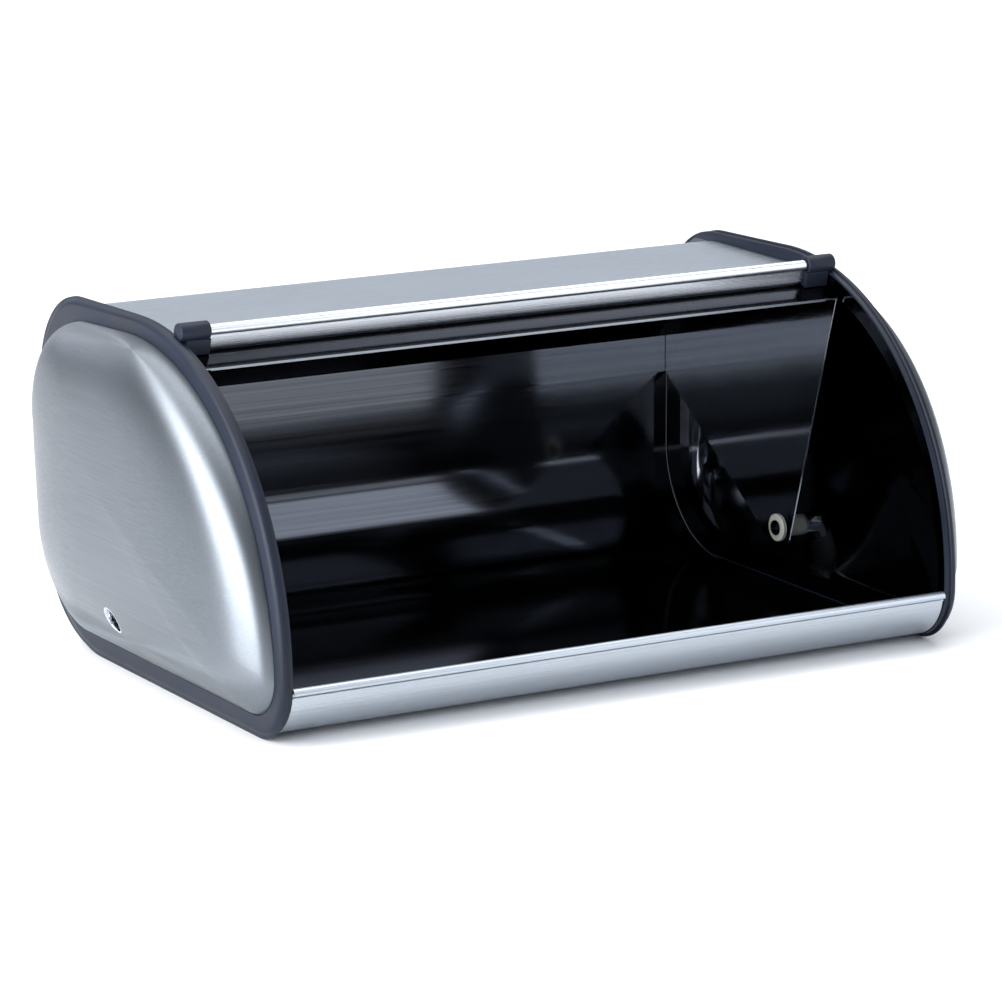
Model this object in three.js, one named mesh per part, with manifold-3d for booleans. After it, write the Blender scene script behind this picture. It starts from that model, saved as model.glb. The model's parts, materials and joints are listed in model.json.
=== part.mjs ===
// Roll-top bread box: a wrapped sheet-steel body between two domed side covers with moulded edge
// trims, and a drum-shaped lid that turns on two rivets and parks under the top panel when open.
// Millimetres. +X to the right seen from the front, +Y to the back, +Z up. The origin is the middle
// of the footprint on the table. The lid is drawn open, which is its rest position.

import * as THREE from 'three';
import { mergeVertices } from 'three/addons/utils/BufferGeometryUtils.js';
import Module from 'manifold-3d';

const wasm = await Module();
wasm.setup();

// ---------------------------------------------------------------- driving dimensions
const DEPTH = 273.8;          // front to back over the trims
const FRAME_R = 154.3;        // round front of the trims, about the lid pivot
const PIVOT_Y = FRAME_R - DEPTH / 2;
const PIVOT_Z = 33;
const BACK_Y = DEPTH / 2;
const TRIM_X = 190;           // inboard face of a trim
const SHEET = 0.8;            // sheet-steel thickness
const GAP = 0.3;              // gap between parts that touch
const TURN = 6;               // degrees between the points of a round stretch
const RUN_STEPS = 6;          // spans in a straight run of a side outline
const BAR_SIDES = 24;         // of a round bar along X
const PIN_SIDES = 16;         // of a small rivet or screw
const BITE = 0.5;             // how far the pieces of one part run into each other

// trims: a side outline is four tangent circles, front, rear top, rear bottom and front bottom
const FRAME = {
  frontZ: PIVOT_Z, frontR: FRAME_R, high: 185.4, back: BACK_Y, low: 0, rTop: 49, rRear: 60, rFront: 30,
};
const RAIL_WIDTH = 3;         // lowered inboard rail that the handle caps ride on
const RAIL_DROP = 1.2;
const RAIL = { ...FRAME, frontR: FRAME_R - RAIL_DROP, high: FRAME.high - RAIL_DROP, low: RAIL_DROP };
const RIM_WIDTH = 7;          // inboard face to outboard edge
const RIM = { ...FRAME, back: BACK_Y - 5, rRear: 64 };     // at the step; it draws in at the rear
const SHOULDER = { ...FRAME, back: BACK_Y - 7.5, high: 184.6, low: 2.5, rRear: 66, rFront: 28 };
const SHOULDER_STEPS = [[5.2, 0.1], [6.5, 1.2], [RIM_WIDTH, 3.5]];      // across the trim, inset
const STEP_DRAFT = 0.1;       // the step's wall leans out by this much
const FOOT_WIDTH = 0.8;       // flat underside beside the step

// side covers: a flange behind the trim, a short skirt and a pillow-shaped dome
const DOME = {
  frontZ: 30.4, frontR: 147, high: 174.5, back: BACK_Y - 15.2, low: 12.3, rTop: 50, rRear: 47, rFront: 23,
};
const DOME_X = TRIM_X + RIM_WIDTH;
const BULGE = 26.4;
const STEEPNESS = { front: 6.4, rear: 3.1, top: 8.2, bottom: 2.5 };   // how fast the dome rises from its edge
const EDGE_POWER = 0.77;      // below 1, the edge starts square to the trim
const LEAN = 0.82;            // share of the bulge that is gone at the bottom edge
const LEAN_POWER = 2.8;
const CORE = new THREE.Vector2(PIVOT_Y - 8, 100);   // middle of the dome
const CORE_SCALE = 0.3;       // size of its nearly flat middle
const DOME_STEPS = [0, 0.02, 0.06, 0.13, 0.24, 0.4, 0.65, 1];
const FLANGE_X = TRIM_X + GAP;
const FLANGE_INSET = 2.7;
const FLANGE_TOP = 178.6;
const FLANGE_BOTTOM = 3.8;

// body sheets
const SHEET_X = TRIM_X - GAP;
const TOP_Z = 180;
const TOP_FRONT_Y = PIVOT_Y - 37.4;
const TOP_CORNER_R = 54;
const BODY_INSET = 1.2;       // back and underside, inside the trims' outline
const SEAM_Y = PIVOT_Y + 18;  // front edge of the back panel's bottom flange
const HEM = 7;                // folded edge, measured along the sheet
const LIP_BEAD_R = 2.5;
const LIP_TOP_Z = 30;
const BEAD_INSET = 0.2;       // lip bead behind the trims' outline

// lid; angles are degrees from straight up about the pivot, positive towards the back
const LID_R = 145;
const LID_FRONT = -21.4;
const LID_TAIL_Y = PIVOT_Y + 116.2;
const LID_TAIL_Z = 99;
const PLATE_X = 187.6;        // inboard face of a lid end plate
const PLATE_T = 1;
const PLATE_FLANGE = 6;
const HUB_R = 12;

// handle
const HANDLE_ANGLE = -14.8;
const HANDLE_R = 156.8;       // middle of the bead
const BEAD_R = 2.8;
const FIN_T = 1.2;
const FOOT_T = 1;
const FOOT_END = -11.4;
const CAP_X = 176;            // inboard end of a handle cap's sleeve
const CAP_R = 4.8;
const CAP_BLOCK_X = CAP_X - 0.5;
const CAP_FRONT = -4;         // front face of the cap's block, ahead of the fin's middle
const BEAD_END = 181.5;

// fixings of the handle and its caps
const FIXING_R = 1.2;         // shank of a rivet or a screw
const FIXING_HOLE_R = 1.5;
const HOLE_MARGIN = 3;        // a hole's cutter goes this far past the lid sheet's outer face
const HANDLE_RIVET_X = [-135, -45, 45, 135];
const HANDLE_RIVET_ANGLE = -12.9;
const HANDLE_RIVET_HEAD = { r: 2.4, height: 0.9 };
const CAP_SCREW_X = 178.2;
const CAP_SCREW_ANGLE = -15.5;
const CAP_SCREW_HEAD = { r: 2.6, height: 1.3 };
const CAP_SCREW_REACH = 5;    // length of the screw's shank beyond the lid

// pivot
const SEAT_X = 204.4;         // floor of the cover's dimple
const DIMPLE_R = 5.4;
const RIVET_R = 3.5;
const RIVET_BORE_R = 2.6;
const RIVET_FLANGE_R = 4.2;
const RIVET_FLANGE_T = 1;
const RUNNING = 0.35;         // radial clearance of the lid on its rivets
const BUSH_R = 5.6;
const WASHER_R = 7.5;
const WASHER_T = 0.8;

// ---------------------------------------------------------------- lines in the side plane (y, z)
const { degToRad, radToDeg, clamp, lerp } = THREE.MathUtils;
const at = (y, z) => new THREE.Vector2(y, z);
const onCircle = (y, z, r, angle) => at(y + r * Math.sin(degToRad(angle)), z + r * Math.cos(degToRad(angle)));
const aboutPivot = (r, angle) => onCircle(PIVOT_Y, PIVOT_Z, r, angle);

function arc(y, z, r, from, to) {
  const steps = Math.max(1, Math.round(Math.abs(to - from) / TURN));
  return Array.from({ length: steps + 1 }, (_, i) => onCircle(y, z, r, lerp(from, to, i / steps)));
}

const pivotArc = (r, from, to) => arc(PIVOT_Y, PIVOT_Z, r, from, to);

// the sheet between an outer line and the same line drawn further in
const strip = (line, inset, thickness) => [...line(inset), ...line(inset + thickness).reverse()];

function sideCircles({ frontZ, frontR, high, back, low, rTop, rRear, rFront }) {
  const cornerZ = low + rFront;
  const cornerY = PIVOT_Y - Math.sqrt((frontR - rFront) ** 2 - (cornerZ - frontZ) ** 2);
  return [
    { y: PIVOT_Y, z: frontZ, r: frontR },
    { y: back - rTop, z: high - rTop, r: rTop },
    { y: back - rRear, z: low + rRear, r: rRear },
    { y: cornerY, z: cornerZ, r: rFront },
  ];
}

// the angle at which an outline leaves one circle, along the common tangent, for the next
function handOver(a, b) {
  const distance = Math.hypot(b.y - a.y, b.z - a.z);
  const heading = Math.atan2(b.y - a.y, b.z - a.z);
  return radToDeg(heading - Math.acos(clamp((a.r - b.r) / distance, -1, 1)));
}

// closed side outline, moved in by an inset and held between two levels; its point count is fixed
function sideOutline(size, inset = 0, top = Infinity, bottom = -Infinity) {
  const circles = sideCircles(size);
  const steps = 90 / TURN;
  const arcs = circles.map((circle, i) => {
    const from = handOver(circles.at(i - 1), circle);
    const span = (handOver(circle, circles[(i + 1) % circles.length]) - from + 720) % 360;
    return Array.from({ length: steps + 1 }, (_, k) =>
      onCircle(circle.y, circle.z, circle.r - inset, from + span * k / steps));
  });
  const points = arcs.flatMap((round, i) => {
    const last = round.pop();
    if (i === arcs.length - 1) return round;      // it ends where the front circle starts
    const run = Array.from({ length: RUN_STEPS }, (_, k) => last.clone().lerp(arcs[i + 1][0], k / RUN_STEPS));
    return [...round, ...run];
  });
  return points.map((p) => at(p.x, clamp(p.y, bottom, top)));
}

// ---------------------------------------------------------------- solids
const SIDE_PLANE = new THREE.Matrix4().makeBasis(
  new THREE.Vector3(0, 1, 0), new THREE.Vector3(0, 0, 1), new THREE.Vector3(1, 0, 0));

// an outline in the side plane, extruded from x0 to x1
function extrudeX(points, x0, x1, hole) {
  const shape = new THREE.Shape(THREE.ShapeUtils.isClockWise(points) ? points.toReversed() : points);
  if (hole) shape.holes = [new THREE.Path(hole)];
  const geometry = new THREE.ExtrudeGeometry(shape, { depth: x1 - x0, bevelEnabled: false });
  return geometry.applyMatrix4(SIDE_PLANE).translate(x0, 0, 0);
}

// a round bar along X about a point of the side plane, or a tube if it has a bore
function barX(centre, radius, x0, x1, boreRadius = 0) {
  const pointAt = (r, i) => onCircle(centre.x, centre.y, r, 360 * i / BAR_SIDES);
  const circle = (r) => Array.from({ length: BAR_SIDES }, (_, i) => pointAt(r, i));
  return extrudeX(circle(radius), x0, x1, boreRadius ? circle(boreRadius) : undefined);
}

// a round bar that points away from the pivot, from radius r0 to r1
function barRadial(x, angle, radius, r0, r1) {
  const bar = new THREE.CylinderGeometry(radius, radius, r1 - r0, PIN_SIDES);
  const middle = aboutPivot((r0 + r1) / 2, angle);
  return bar.rotateX(degToRad(90 - angle)).translate(x, middle.x, middle.y);
}

const PIVOT = at(PIVOT_Y, PIVOT_Z);
const loopAt = (x, points) => points.map((p) => new THREE.Vector3(x, p.x, p.y));

// a closed skin through loops of equal length: a ring if joined, otherwise capped at both ends
function skin(loops, joined) {
  const count = loops[0].length;
  const points = loops.flat();
  const index = [];
  const strips = loops.length - (joined ? 0 : 1);
  for (let i = 0; i < strips; i++) {
    const a = i * count;
    const b = ((i + 1) % loops.length) * count;
    for (let k = 0; k < count; k++) {
      const n = (k + 1) % count;
      index.push(a + k, b + k, a + n, a + n, b + k, b + n);
    }
  }
  if (!joined) {
    addFan(points, index, 0, count, false);
    addFan(points, index, (loops.length - 1) * count, count, true);
  }
  return new THREE.BufferGeometry().setFromPoints(points).setIndex(index);
}

// triangles from the middle of a loop of points, which starts at a given place in the list
function addFan(points, index, start, count, isLast) {
  const loop = points.slice(start, start + count);
  const hub = points.push(loop.reduce((sum, p) => sum.add(p), new THREE.Vector3()).divideScalar(count)) - 1;
  for (let k = 0; k < count; k++) {
    const edge = [start + k, start + (k + 1) % count];
    index.push(hub, ...(isLast ? edge.reverse() : edge));
  }
}

function toSolid(geometry) {
  const bare = geometry.clone();
  bare.deleteAttribute('normal');
  bare.deleteAttribute('uv');
  const merged = mergeVertices(bare, 1e-4);
  return new wasm.Manifold(new wasm.Mesh({
    numProp: 3,
    vertProperties: new Float32Array(merged.attributes.position.array),
    triVerts: new Uint32Array(merged.index.array),
  }));
}

function toGeometry(solid) {
  const mesh = solid.getMesh();
  const geometry = new THREE.BufferGeometry();
  geometry.setAttribute('position', new THREE.Float32BufferAttribute(mesh.vertProperties, 3));
  return geometry.setIndex(Array.from(mesh.triVerts));
}

const join = (first, ...rest) => toGeometry(rest.reduce((sum, g) => sum.add(toSolid(g)), toSolid(first)));
const cut = (first, ...rest) => toGeometry(rest.reduce((sum, g) => sum.subtract(toSolid(g)), toSolid(first)));
const common = (a, b) => toGeometry(toSolid(a).intersect(toSolid(b)));

// the same piece on the other side of the object
function mirrorX(geometry) {
  const mesh = toSolid(geometry).getMesh();
  const positions = Array.from(mesh.vertProperties, (value, i) => (i % 3 === 0 ? -value : value));
  const mirrored = new THREE.BufferGeometry();
  mirrored.setAttribute('position', new THREE.Float32BufferAttribute(positions, 3));
  return mirrored.setIndex(Array.from(mesh.triVerts).reverse());
}

// ---------------------------------------------------------------- body sheets
// one sheet: hemmed front edge, flat top, round rear corners, back, and a flange under the floor
function backPanel() {
  const backY = BACK_Y - BODY_INSET;
  const rearR = FRAME.rRear - BODY_INSET;
  const line = (inset) => [
    at(TOP_FRONT_Y, TOP_Z - inset),
    ...arc(backY - TOP_CORNER_R, TOP_Z - TOP_CORNER_R, TOP_CORNER_R - inset, 0, 90),
    ...arc(backY - rearR, BODY_INSET + rearR, rearR - inset, 90, 180),
    at(SEAM_Y, BODY_INSET + inset),
  ];
  const hemLine = (inset) => [at(TOP_FRONT_Y, TOP_Z - inset), at(TOP_FRONT_Y + HEM, TOP_Z - inset)];
  return join(
    extrudeX(strip(line, 0, SHEET), -SHEET_X, SHEET_X),
    extrudeX(strip(hemLine, SHEET / 2, 1.5 * SHEET), -SHEET_X, SHEET_X));
}

// floor lapped over the back panel's flange, round front corner, and a lip with a rolled bead
function baseTray() {
  const corner = sideCircles(FRAME).at(-1);
  const beadRadius = corner.r - BEAD_INSET - LIP_BEAD_R;
  const lipAngle = 270 - radToDeg(Math.asin((corner.z + LIP_BEAD_R - LIP_TOP_Z) / beadRadius));
  const line = (inset) => [
    at(BACK_Y - FRAME.rRear, inset),
    ...arc(corner.y, corner.z, corner.r - inset, 180, lipAngle),
  ];
  return join(
    extrudeX(strip(line, BODY_INSET + SHEET + GAP, SHEET), -SHEET_X, SHEET_X),
    barX(onCircle(corner.y, corner.z, beadRadius, lipAngle), LIP_BEAD_R, -SHEET_X, SHEET_X));
}

// ---------------------------------------------------------------- side covers and trims
const flangeOutline = (clearance) =>
  sideOutline(FRAME, FLANGE_INSET - clearance, FLANGE_TOP + clearance, FLANGE_BOTTOM - clearance);

// one ring of the dome: step runs from 0 at its edge to 1 at its flat middle; low down, the dome leans in
function domeLoop(step, inset) {
  return sideOutline(DOME, inset).map((edge) => {
    const away = edge.clone().sub(CORE).normalize();
    const steepness = away.x ** 2 * (away.x > 0 ? STEEPNESS.rear : STEEPNESS.front)
      + away.y ** 2 * (away.y > 0 ? STEEPNESS.top : STEEPNESS.bottom);
    const p = edge.clone().lerp(CORE, step * (1 - CORE_SCALE));
    const below = Math.max(0, (CORE.y - p.y) / (CORE.y - DOME.low));
    const height = BULGE * (1 - LEAN * below ** LEAN_POWER);
    const rise = height * (1 - (1 - step) ** steepness) ** EDGE_POWER;
    return new THREE.Vector3(DOME_X - inset + rise, p.x, p.y);
  });
}

function sideCover() {
  const outerDome = DOME_STEPS.map((step) => domeLoop(step, 0));
  const shell = skin([
    ...DOME_STEPS.map((step) => domeLoop(step, SHEET)).reverse(),
    loopAt(FLANGE_X, sideOutline(DOME, SHEET)),
    loopAt(FLANGE_X, flangeOutline(0)),
    loopAt(FLANGE_X + SHEET, flangeOutline(0)),
    loopAt(FLANGE_X + SHEET, sideOutline(DOME)),
    ...outerDome,
  ]);
  const filled = skin([loopAt(FLANGE_X, sideOutline(DOME)), ...outerDome]);
  const beyond = DOME_X + BULGE + 1;
  return cut(
    join(shell, common(barX(PIVOT, DIMPLE_R + SHEET, SEAT_X - SHEET, beyond), filled)),
    barX(PIVOT, DIMPLE_R, SEAT_X, beyond),
    barX(PIVOT, RIVET_R + GAP, SEAT_X - 2 * SHEET, beyond));
}

function trim() {
  const behindFlange = FLANGE_X + SHEET + GAP;
  const stepX = TRIM_X + RAIL_WIDTH;
  return skin([
    loopAt(TRIM_X, flangeOutline(GAP)),
    loopAt(TRIM_X, sideOutline(RAIL)),
    loopAt(stepX, sideOutline(RAIL)),
    loopAt(stepX + STEP_DRAFT, sideOutline(RIM)),
    loopAt(stepX + STEP_DRAFT + FOOT_WIDTH, sideOutline(RIM)),
    ...SHOULDER_STEPS.map(([across, inset]) => loopAt(TRIM_X + across, sideOutline(SHOULDER, inset))),
    loopAt(TRIM_X + RIM_WIDTH, sideOutline(DOME, -GAP)),
    loopAt(behindFlange, sideOutline(DOME, -GAP)),
    loopAt(behindFlange, flangeOutline(GAP)),
  ], true);
}

// ---------------------------------------------------------------- pivots
const BUSH_X = PLATE_X + PLATE_T + GAP;
const WASHER_X = PLATE_X - GAP - WASHER_T;

// tubular rivet: a flange in the cover's dimple, a barrel, and a rolled head inside the lid
function pivotRivet() {
  const headX = WASHER_X - GAP - RIVET_FLANGE_T;
  const flangeX = SEAT_X + GAP;
  return join(
    barX(PIVOT, RIVET_R, headX, flangeX + RIVET_FLANGE_T, RIVET_BORE_R),
    barX(PIVOT, RIVET_FLANGE_R, flangeX, flangeX + RIVET_FLANGE_T, RIVET_BORE_R),
    barX(PIVOT, RIVET_FLANGE_R, headX, headX + RIVET_FLANGE_T, RIVET_BORE_R));
}

const pivotBush = () => barX(PIVOT, BUSH_R, BUSH_X, SEAT_X - SHEET - GAP, RIVET_R + GAP);
const pivotWasher = () => barX(PIVOT, WASHER_R, WASHER_X, WASHER_X + WASHER_T, RIVET_R + RUNNING);

// ---------------------------------------------------------------- lid
const tailAngle = (inset) => radToDeg(Math.asin((LID_TAIL_Y - PIVOT_Y - inset) / (LID_R - inset)));
const lidLine = (inset) => [
  ...pivotArc(LID_R - inset, LID_FRONT, tailAngle(inset)),
  at(LID_TAIL_Y - inset, LID_TAIL_Z),
];
const fixingHole = (x, angle, reach) =>
  barRadial(x, angle, FIXING_HOLE_R, LID_R - HOLE_MARGIN, LID_R + reach);
const handleRivetHole = (x) => fixingHole(x, HANDLE_RIVET_ANGLE, HOLE_MARGIN);
const capScrewHole = (x) => fixingHole(x, CAP_SCREW_ANGLE, CAP_SCREW_REACH + 2 * GAP);

function lidSheet() {
  const width = PLATE_X + PLATE_T;
  const hemLine = (inset) => pivotArc(LID_R - inset, LID_FRONT, LID_FRONT + radToDeg(HEM / LID_R));
  const hemEnd = PLATE_X - PLATE_FLANGE - 2 * GAP;
  return cut(
    join(
      extrudeX(strip(lidLine, 0, SHEET), -width, width),
      extrudeX(strip(hemLine, SHEET / 2, 1.5 * SHEET), -hemEnd, hemEnd)),
    ...HANDLE_RIVET_X.map(handleRivetHole),
    capScrewHole(CAP_SCREW_X),
    capScrewHole(-CAP_SCREW_X));
}

// a sector from the hub to the lid sheet, with a flange folded in under the sheet
function lidEndPlate() {
  const inset = SHEET + GAP;
  const touching = (point, side) => {
    const fromPivot = point.clone().sub(PIVOT);
    const lean = radToDeg(Math.acos(HUB_R / fromPivot.length()));
    return radToDeg(Math.atan2(fromPivot.x, fromPivot.y)) + side * lean;
  };
  const rim = lidLine(inset);
  const outline = [...rim, ...pivotArc(HUB_R, touching(rim.at(-1), 1), touching(rim[0], -1) + 360)];
  const bore = pivotArc(RIVET_R + RUNNING, 0, 360 - TURN);
  const flangeLine = (depth) => pivotArc(LID_R - depth, LID_FRONT, tailAngle(inset));
  return join(
    extrudeX(outline, PLATE_X, PLATE_X + PLATE_T, bore),
    extrudeX(strip(flangeLine, inset, PLATE_T), PLATE_X - PLATE_FLANGE, PLATE_X + PLATE_T / 2));
}

// ---------------------------------------------------------------- handle
const HANDLE_BEAD = aboutPivot(HANDLE_R, HANDLE_ANGLE);

// a rectangle square to the lid at the handle: r away from the pivot, t towards the back
function finBox(r0, r1, t0, t1, x0, x1) {
  const away = aboutPivot(1, HANDLE_ANGLE).sub(PIVOT);
  const along = at(away.y, -away.x);
  const corner = (r, t) => PIVOT.clone().addScaledVector(away, r).addScaledVector(along, t);
  return extrudeX([corner(r0, t0), corner(r1, t0), corner(r1, t1), corner(r0, t1)], x0, x1);
}

// a bead on a fin that stands square on the lid, with a foot behind it for the rivets
function handleStrip() {
  const finEnd = CAP_BLOCK_X - GAP;
  const footLine = (inset) => pivotArc(LID_R + GAP + FOOT_T - inset, HANDLE_ANGLE, FOOT_END);
  return cut(
    join(
      barX(HANDLE_BEAD, BEAD_R, -BEAD_END, BEAD_END),
      finBox(LID_R + GAP, HANDLE_R, -FIN_T / 2, FIN_T / 2, -finEnd, finEnd),
      extrudeX(strip(footLine, 0, FOOT_T), -finEnd, finEnd)),
    ...HANDLE_RIVET_X.map(handleRivetHole));
}

// a sleeve over the bead's end that rides on the trim's rail, and a block down to the lid
function handleCap() {
  const railTop = (r) => [PIVOT.clone(), ...pivotArc(r, HANDLE_ANGLE - 12, HANDLE_ANGLE + 12)];
  return cut(
    join(
      barX(HANDLE_BEAD, CAP_R, CAP_X, TRIM_X + RAIL_WIDTH - GAP),
      finBox(LID_R + GAP, HANDLE_R, CAP_FRONT, FIN_T / 4, CAP_BLOCK_X, TRIM_X - 2 * GAP)),
    extrudeX(railTop(FRAME_R - RAIL_DROP + GAP), TRIM_X - 2 * GAP, TRIM_X + RIM_WIDTH),
    barX(HANDLE_BEAD, BEAD_R + GAP, CAP_X - 1, BEAD_END + GAP),
    capScrewHole(CAP_SCREW_X));
}

const UNDER_LID = LID_R - SHEET - GAP;      // where the heads inside the lid start

// a rivet through the handle's foot and the lid sheet, with a head on each side
function handleRivet(x) {
  const bar = (radius, r0, r1) => barRadial(x, HANDLE_RIVET_ANGLE, radius, r0, r1);
  const { r, height } = HANDLE_RIVET_HEAD;
  const overFoot = LID_R + GAP + FOOT_T + GAP;
  return join(
    bar(FIXING_R, UNDER_LID - BITE, overFoot + BITE),
    bar(r, overFoot, overFoot + height),
    bar(r, UNDER_LID - height, UNDER_LID));
}

// a screw from inside the lid, up into the cap's block
function capScrew() {
  const bar = (radius, r0, r1) => barRadial(CAP_SCREW_X, CAP_SCREW_ANGLE, radius, r0, r1);
  const { r, height } = CAP_SCREW_HEAD;
  return join(
    bar(FIXING_R, UNDER_LID - BITE, LID_R + CAP_SCREW_REACH),
    bar(r, UNDER_LID - height, UNDER_LID));
}

// ---------------------------------------------------------------- the object
const material = (color, roughness, metalness) =>
  new THREE.MeshStandardMaterial({ color, roughness, metalness });
const BRUSHED = material('#aab2ba', 0.38, 1);
const POLISHED = material('#c9ced6', 0.12, 1);
const PLASTIC = material('#2b303c', 0.45, 0);
const NYLON = material('#d8d6cc', 0.6, 0);
const FIXING = material('#b9bcc2', 0.3, 1);

const part = new THREE.Group();

function addPart(name, geometry, look) {
  const mesh = new THREE.Mesh(geometry, look);
  mesh.name = name;
  part.add(mesh);
}

// a piece drawn for the right side, and its mirror image on the left
function addPair(name, geometry, look) {
  addPart(`${name}_right`, geometry, look);
  addPart(`${name}_left`, mirrorX(geometry), look);
}

addPart('back_panel', backPanel(), BRUSHED);
addPart('base_tray', baseTray(), BRUSHED);
addPair('side_cover', sideCover(), BRUSHED);
addPair('trim', trim(), PLASTIC);
addPair('pivot_rivet', pivotRivet(), FIXING);
addPair('pivot_bush', pivotBush(), NYLON);
addPair('pivot_washer', pivotWasher(), NYLON);
addPart('lid_sheet', lidSheet(), POLISHED);
addPair('lid_end_plate', lidEndPlate(), POLISHED);
addPart('handle_strip', handleStrip(), POLISHED);
addPair('handle_cap', handleCap(), PLASTIC);
addPair('cap_screw', capScrew(), FIXING);
HANDLE_RIVET_X.forEach((x, i) => addPart(`handle_rivet_${i + 1}`, handleRivet(x), FIXING));

export default part;
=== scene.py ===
"""Roll-top bread box, open: sheet-steel body and drum lid between domed side covers.

Sizes are in millimetres unless a name says otherwise; piece() turns them into metres. The side plane
is (y, z), angles in it are degrees from straight up about a centre, positive towards the back.
"""

import json
import math

import bmesh
import bpy
from mathutils import Matrix, Vector
from mathutils.bvhtree import BVHTree


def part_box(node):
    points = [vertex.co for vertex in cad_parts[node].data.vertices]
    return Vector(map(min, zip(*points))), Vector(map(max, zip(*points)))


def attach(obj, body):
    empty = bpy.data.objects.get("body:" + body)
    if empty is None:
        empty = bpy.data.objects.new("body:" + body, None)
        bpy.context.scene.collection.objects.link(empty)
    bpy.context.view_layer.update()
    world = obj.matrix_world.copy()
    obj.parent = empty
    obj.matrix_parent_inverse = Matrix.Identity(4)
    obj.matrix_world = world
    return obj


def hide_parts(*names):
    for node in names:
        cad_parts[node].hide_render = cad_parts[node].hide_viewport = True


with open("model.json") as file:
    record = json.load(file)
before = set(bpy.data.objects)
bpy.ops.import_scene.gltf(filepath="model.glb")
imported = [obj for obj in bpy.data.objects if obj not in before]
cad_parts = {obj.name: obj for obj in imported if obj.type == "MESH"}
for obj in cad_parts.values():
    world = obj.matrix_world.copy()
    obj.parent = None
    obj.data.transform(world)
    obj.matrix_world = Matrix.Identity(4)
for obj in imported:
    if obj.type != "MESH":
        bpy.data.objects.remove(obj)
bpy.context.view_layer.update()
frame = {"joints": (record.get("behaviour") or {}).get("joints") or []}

MM = 0.001

# ------------------------------------------------------------------ sizes
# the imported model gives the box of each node, and the other sizes are the ones it was drawn with
PIVOT_JOINT = frame["joints"][0]["pos_m"]
PIVOT = (PIVOT_JOINT[1] / MM, PIVOT_JOINT[2] / MM)
TRIM_LOW, TRIM_HIGH = (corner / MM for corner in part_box("trim_right"))
SHEET_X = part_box("back_panel")[1].x / MM
GAP = 0.3
SHEET = 0.8

BACK_Y = TRIM_HIGH.y
FRAME_R = PIVOT[0] - TRIM_LOW.y
TRIM_X = TRIM_LOW.x
RIM_WIDTH = TRIM_HIGH.x - TRIM_LOW.x
FRAME_SIZE = dict(front_z=PIVOT[1], front_r=FRAME_R, high=185.4, back=BACK_Y, low=0,
                  r_top=49, r_rear=60, r_front=30)
RIM_SIZE = dict(FRAME_SIZE, back=BACK_Y - 5, r_rear=64)
SHOULDER_SIZE = dict(FRAME_SIZE, back=BACK_Y - 7.5, high=184.6, low=2.5, r_rear=66, r_front=28)
DOME_SIZE = dict(front_z=30.4, front_r=147, high=174.5, back=BACK_Y - 15.2, low=12.3,
                 r_top=50, r_rear=47, r_front=23)
STEEPNESS = dict(front=6.4, rear=3.1, top=8.2, bottom=2.5)
EDGE_POWER = 0.77
LEAN = 0.82
LEAN_POWER = 2.8
STEP_DRAFT = 0.1
FOOT_WIDTH = 0.8
RAIL_WIDTH = 3
RAIL_DROP = 1.2
RAIL_SIZE = dict(FRAME_SIZE, front_r=FRAME_R - RAIL_DROP, high=FRAME_SIZE["high"] - RAIL_DROP,
                 low=RAIL_DROP)
SHOULDER_ROUNDING = 3.5
ARC_STEPS = 40              # in each round part of a side outline
RUN_STEPS = 24              # in each straight part
DOME_X = TRIM_X + RIM_WIDTH
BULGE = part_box("side_cover_right")[1].x / MM - DOME_X
CORE = (PIVOT[0] - 8, 100)
CORE_SCALE = 0.3
DOME_RINGS = 40
RING_CROWDING = 2.2         # above 1, the rings are closer together near the edge
FLANGE_X = TRIM_X + GAP
FLANGE_INSET = 2.7
FLANGE_TOP = 178.6
FLANGE_BOTTOM = 3.8

TOP_Z = 180
TOP_FRONT_Y = PIVOT[0] - 37.4
TOP_CORNER_R = 54
BODY_INSET = 1.2
SEAM_Y = PIVOT[0] + 18
HEM = 7
LIP_BEAD_R = 2.5
LIP_TOP_Z = 30
BEAD_INSET = 0.2

LID_R = 145
LID_FRONT = -21.4
LID_TAIL_Y = PIVOT[0] + 116.2
LID_TAIL_Z = 99
PLATE_X = 187.6
PLATE_T = 1
PLATE_FLANGE = 6
HUB_R = 12

HANDLE_ANGLE = -14.8
HANDLE_R = 156.8
BEAD_R = 2.8
FIN_T = 1.2
FOOT_T = 1
FOOT_END = -11.4
CAP_X = 176
CAP_R = 4.8
CAP_FRONT = -4
BEAD_END = 181.5
FIXING_R = 1.2
HANDLE_RIVET_X = (-135, -45, 45, 135)
HANDLE_RIVET_ANGLE = -12.9
HANDLE_RIVET_HEAD_R = 2.4
CAP_SCREW_X = 178.2
CAP_SCREW_ANGLE = -15.5
CAP_SCREW_HEAD_R = 2.6

SEAT_X = 204.4              # floor of the dimple
DIMPLE_R = 5.4
HOLE_R = DIMPLE_R + SHEET
HOLE_SIDES = 64
DRILL_X = DOME_X + 12       # middle of the drill that cuts the hole
DRILL_LENGTH = 40
RIVET_R = 3.5
RIVET_BORE_R = 2.6
RIVET_FLANGE_R = 4.2
RIVET_FLANGE_T = 1
RUNNING = 0.35
BUSH_R = 5.6
WASHER_R = 7.5
WASHER_T = 0.8
BUSH_X = PLATE_X + PLATE_T + GAP
WASHER_X = PLATE_X - GAP - WASHER_T


# ------------------------------------------------------------------ lines in the side plane
def lerp(a, b, t):
    return a + (b - a) * t


def mix(p, q, t):
    return (lerp(p[0], q[0], t), lerp(p[1], q[1], t))


def on_circle(centre, r, angle):
    a = math.radians(angle)
    return (centre[0] + r * math.sin(a), centre[1] + r * math.cos(a))


def arc(centre, r, start, end, turn=1.5):
    steps = max(1, round(abs(end - start) / turn))
    return [on_circle(centre, r, lerp(start, end, i / steps)) for i in range(steps + 1)]


def pivot_arc(r, start, end, turn=1.5):
    return arc(PIVOT, r, start, end, turn)


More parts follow.
